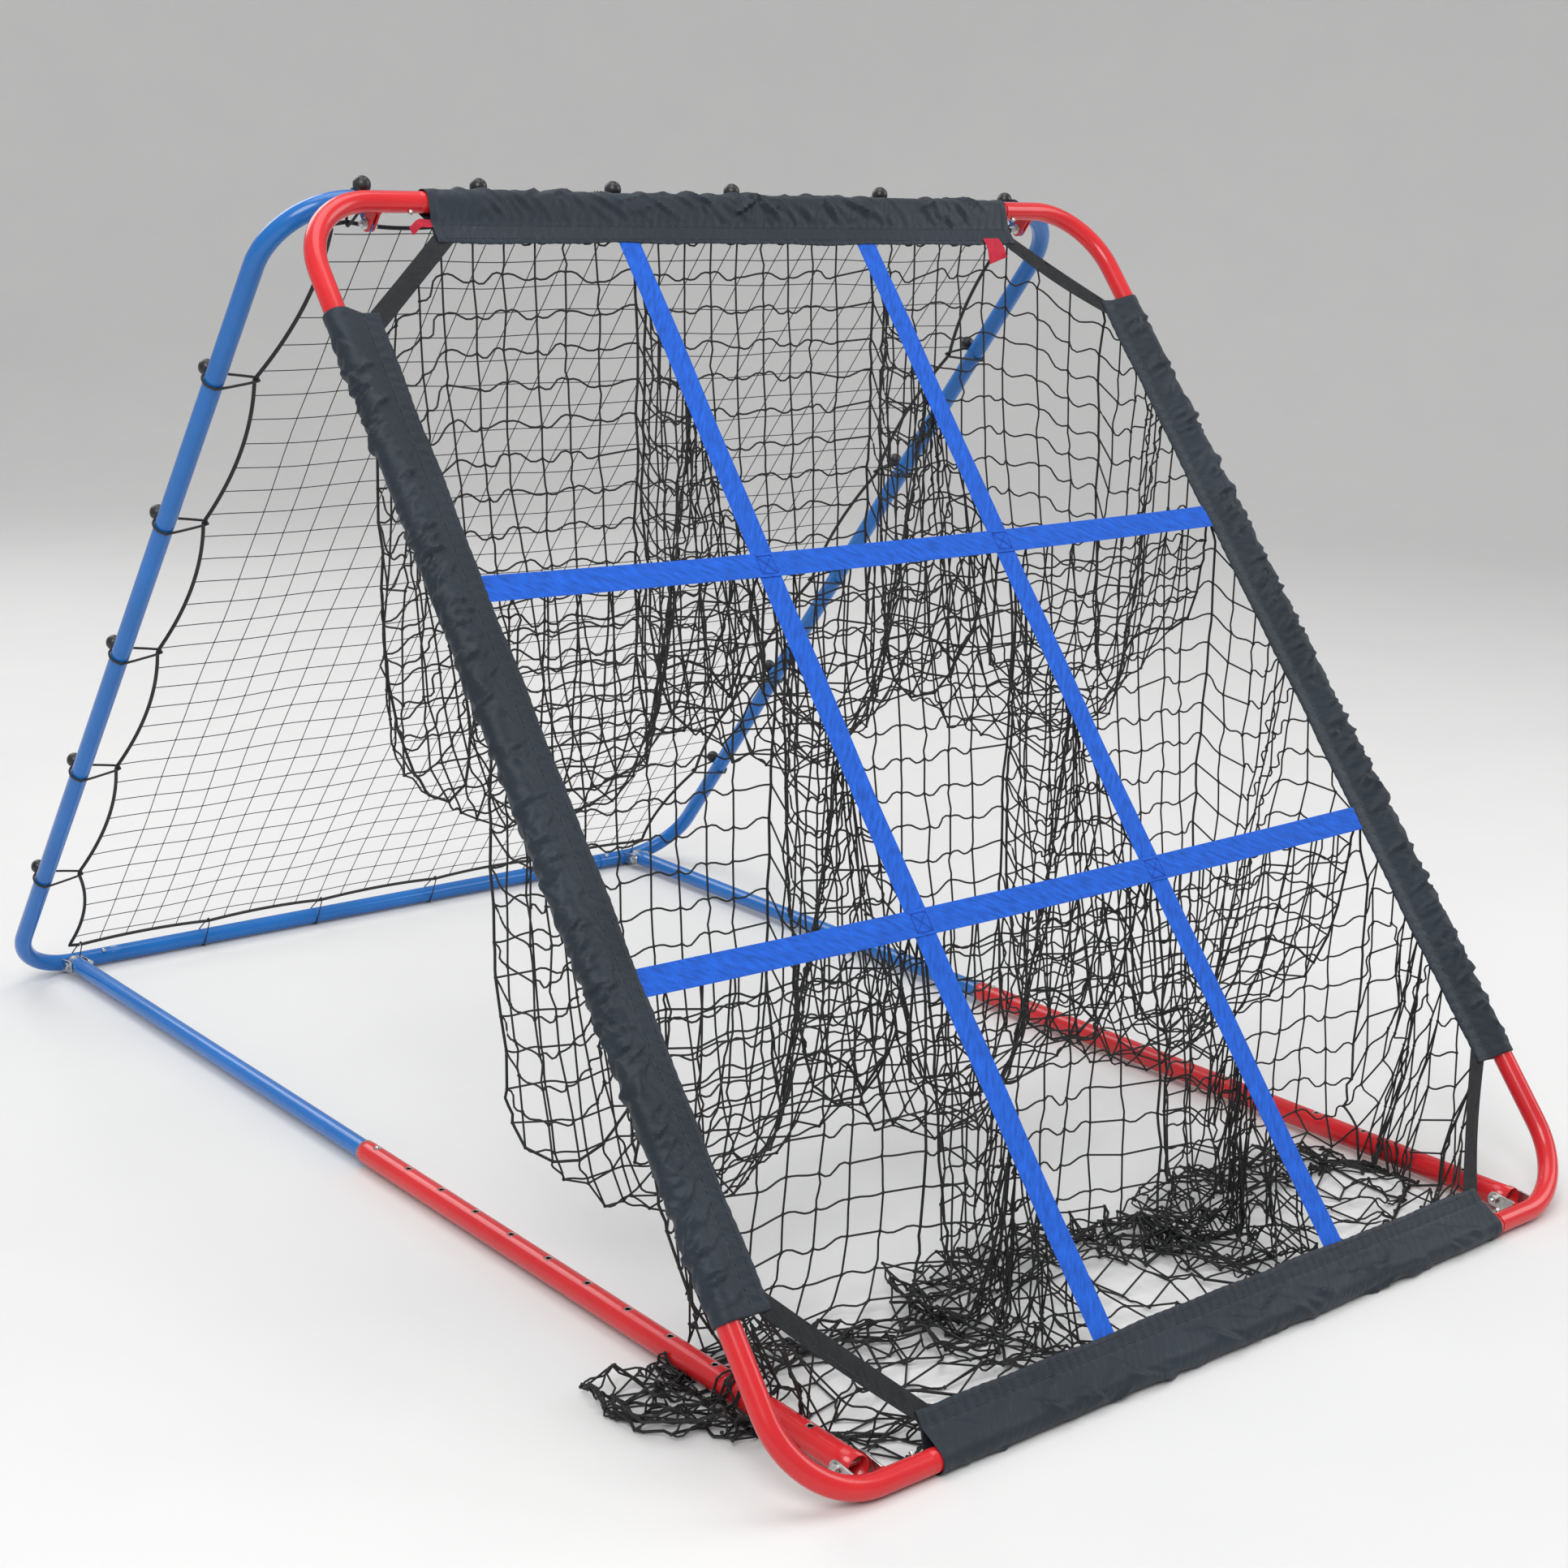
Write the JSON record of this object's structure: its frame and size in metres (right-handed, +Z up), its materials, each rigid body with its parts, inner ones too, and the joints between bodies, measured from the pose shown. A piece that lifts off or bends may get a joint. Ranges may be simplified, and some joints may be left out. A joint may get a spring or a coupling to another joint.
{
  "type": "pitch back rebounder",
  "caption": "Folding sports rebounder: two hinged tube frames, one with a strapped grid of net pockets, one with a bungee-hung rebound net, on telescoping base tubes.",
  "frame": {"origin": "floor level, midway between the two bottom tubes and midway across the frames", "axes": "+Y from the front frame with the pockets to the back frame with the rebound net, +Z up, +X across the frames"},
  "size_m": [1.5286, 2.3181, 1.4511],
  "materials": {
    "red_paint": "gloss",
    "blue_paint": "gloss",
    "zinc": "satin",
    "cover_cloth": "matte",
    "blue_webbing": "matte",
    "black_webbing": "matte",
    "red_tape": "matte",
    "black_net": "matte",
    "black_rubber": "matte"
  },
  "bodies": {
    "front_frame": {"bottom_sleeve": "cover_cloth", "corner_strap_bottom_left": "black_webbing", "corner_strap_bottom_right": "black_webbing", "corner_strap_top_left": "black_webbing", "corner_strap_top_right": "black_webbing", "front_bottom_rail": "red_paint", "front_corner_bottom_left": "red_paint", "front_corner_bottom_right": "red_paint", "front_corner_top_left": "red_paint", "front_corner_top_right": "red_paint", "front_screw_bottom_left": "zinc", "front_screw_bottom_right": "zinc", "front_screw_top_left": "zinc", "front_screw_top_right": "zinc", "front_top_rail": "red_paint", "hinge_bolt_left": "zinc", "hinge_bolt_right": "zinc", "pocket_bottom_centre": "black_net", "pocket_bottom_left": "black_net", "pocket_bottom_right": "black_net", "pocket_middle_centre": "black_net", "pocket_middle_left": "black_net", "pocket_middle_right": "black_net", "pocket_top_centre": "black_net", "pocket_top_left": "black_net", "pocket_top_right": "black_net", "red_tab_left": "red_tape", "red_tab_right": "red_tape", "side_sleeve_left": "cover_cloth", "side_sleeve_right": "cover_cloth", "target_strap_level_lower": "blue_webbing", "target_strap_level_upper": "blue_webbing", "target_strap_upright_left": "blue_webbing", "target_strap_upright_right": "blue_webbing", "top_sleeve": "cover_cloth"},
    "back_frame": {"back_bottom_rail": "blue_paint", "back_corner_bottom_left": "blue_paint", "back_corner_bottom_right": "blue_paint", "back_corner_top_left": "blue_paint", "back_corner_top_right": "blue_paint", "back_screw_bottom_left": "zinc", "back_screw_bottom_right": "zinc", "back_screw_top_left": "zinc", "back_screw_top_right": "zinc", "back_top_rail": "blue_paint", "net_cord_bottom": "black_rubber", "net_cord_left": "black_rubber", "net_cord_right": "black_rubber", "net_cord_top": "black_rubber", "rebound_net": "black_net"},
    "base_outer_left": {"base_outer_left": "red_paint", "front_pivot_bolt_left": "zinc"},
    "base_inner_left": {"base_inner_left": "blue_paint", "rear_pivot_bolt_left": "zinc"},
    "lock_button_left": {"lock_button_left": "zinc"},
    "base_outer_right": {"base_outer_right": "red_paint", "front_pivot_bolt_right": "zinc"},
    "base_inner_right": {"base_inner_right": "blue_paint", "rear_pivot_bolt_right": "zinc"},
    "lock_button_right": {"lock_button_right": "zinc"}
  },
  "joints": [
    {"name": "apex_hinge", "type": "hinge", "parent": "front_frame", "child": "back_frame", "pos_m": [0, 0, 1.38701], "axis": [-1, 0, 0], "range_deg": [0, 38.36]},
    {"name": "front_pivot_left", "type": "hinge", "parent": "front_frame", "child": "base_outer_left", "pos_m": [-0.637, -1.09571, 0.0235], "axis": [-1, 0, 0], "range_deg": [0, 19.2]},
    {"name": "rear_pivot_left", "type": "hinge", "parent": "back_frame", "child": "base_inner_left", "pos_m": [-0.637, 1.09571, 0.0235], "axis": [1, 0, 0], "range_deg": [0, 19.2]},
    {"name": "lock_press_left", "type": "slide", "parent": "base_inner_left", "child": "lock_button_left", "axis": [0, 0, -1], "range_m": [0, 0.006], "stiffness_N_per_m": 800, "deforming": ["lock_button_left"]},
    {"name": "front_pivot_right", "type": "hinge", "parent": "front_frame", "child": "base_outer_right", "pos_m": [0.637, -1.09571, 0.0235], "axis": [-1, 0, 0], "range_deg": [0, 19.2]},
    {"name": "rear_pivot_right", "type": "hinge", "parent": "back_frame", "child": "base_inner_right", "pos_m": [0.637, 1.09571, 0.0235], "axis": [1, 0, 0], "range_deg": [0, 19.2]},
    {"name": "lock_press_right", "type": "slide", "parent": "base_inner_right", "child": "lock_button_right", "axis": [0, 0, -1], "range_m": [0, 0.006], "stiffness_N_per_m": 800, "deforming": ["lock_button_right"]}
  ],
  "couplings": [
    {"joint": "front_pivot_left", "follows": "apex_hinge", "ratio": 0.5},
    {"joint": "rear_pivot_left", "follows": "apex_hinge", "ratio": 0.5},
    {"joint": "front_pivot_right", "follows": "apex_hinge", "ratio": 0.5},
    {"joint": "rear_pivot_right", "follows": "apex_hinge", "ratio": 0.5}
  ]
}
